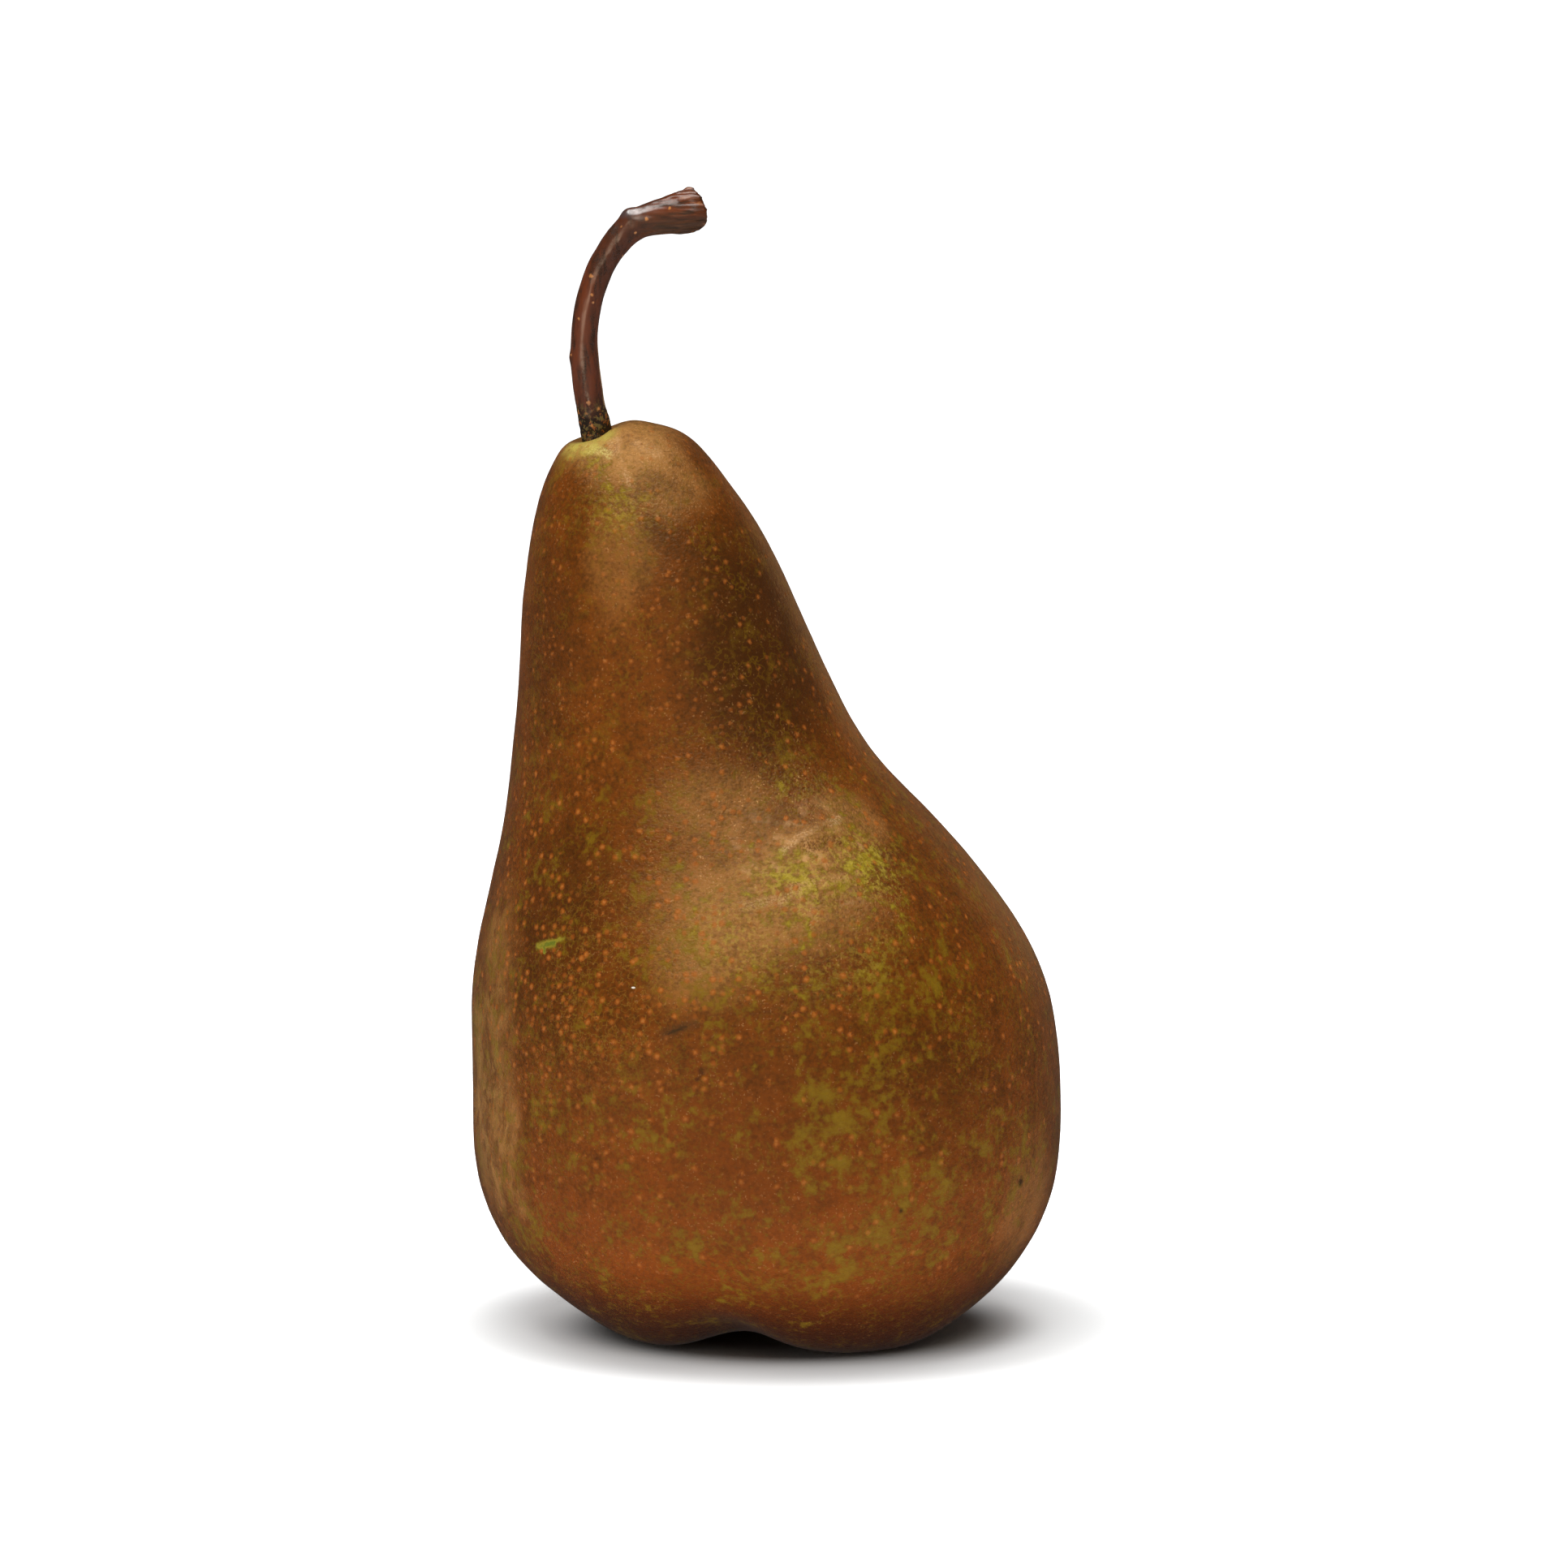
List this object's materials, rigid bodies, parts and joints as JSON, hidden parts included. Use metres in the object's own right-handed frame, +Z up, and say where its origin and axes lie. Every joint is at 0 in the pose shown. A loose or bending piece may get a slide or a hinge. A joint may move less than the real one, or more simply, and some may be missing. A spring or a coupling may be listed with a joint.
{
  "type": "pear",
  "caption": "Whole ripe long-necked pear with a russet skin and its curved woody stem, standing on its blossom end.",
  "frame": {"origin": "on the ground under the middle of the pear's box", "axes": "+Z up along the standing pear, +X towards the side that the stem's end points to, -Y towards the viewer"},
  "size_m": [0.0702, 0.0684, 0.136],
  "materials": {
    "skin": "satin",
    "stem": "satin",
    "sepals": "matte",
    "stamens": "matte"
  },
  "bodies": {
    "root": {"fruit": "skin", "stem": "stem", "sepals": "sepals", "stamens": "stamens"}
  },
  "joints": []
}
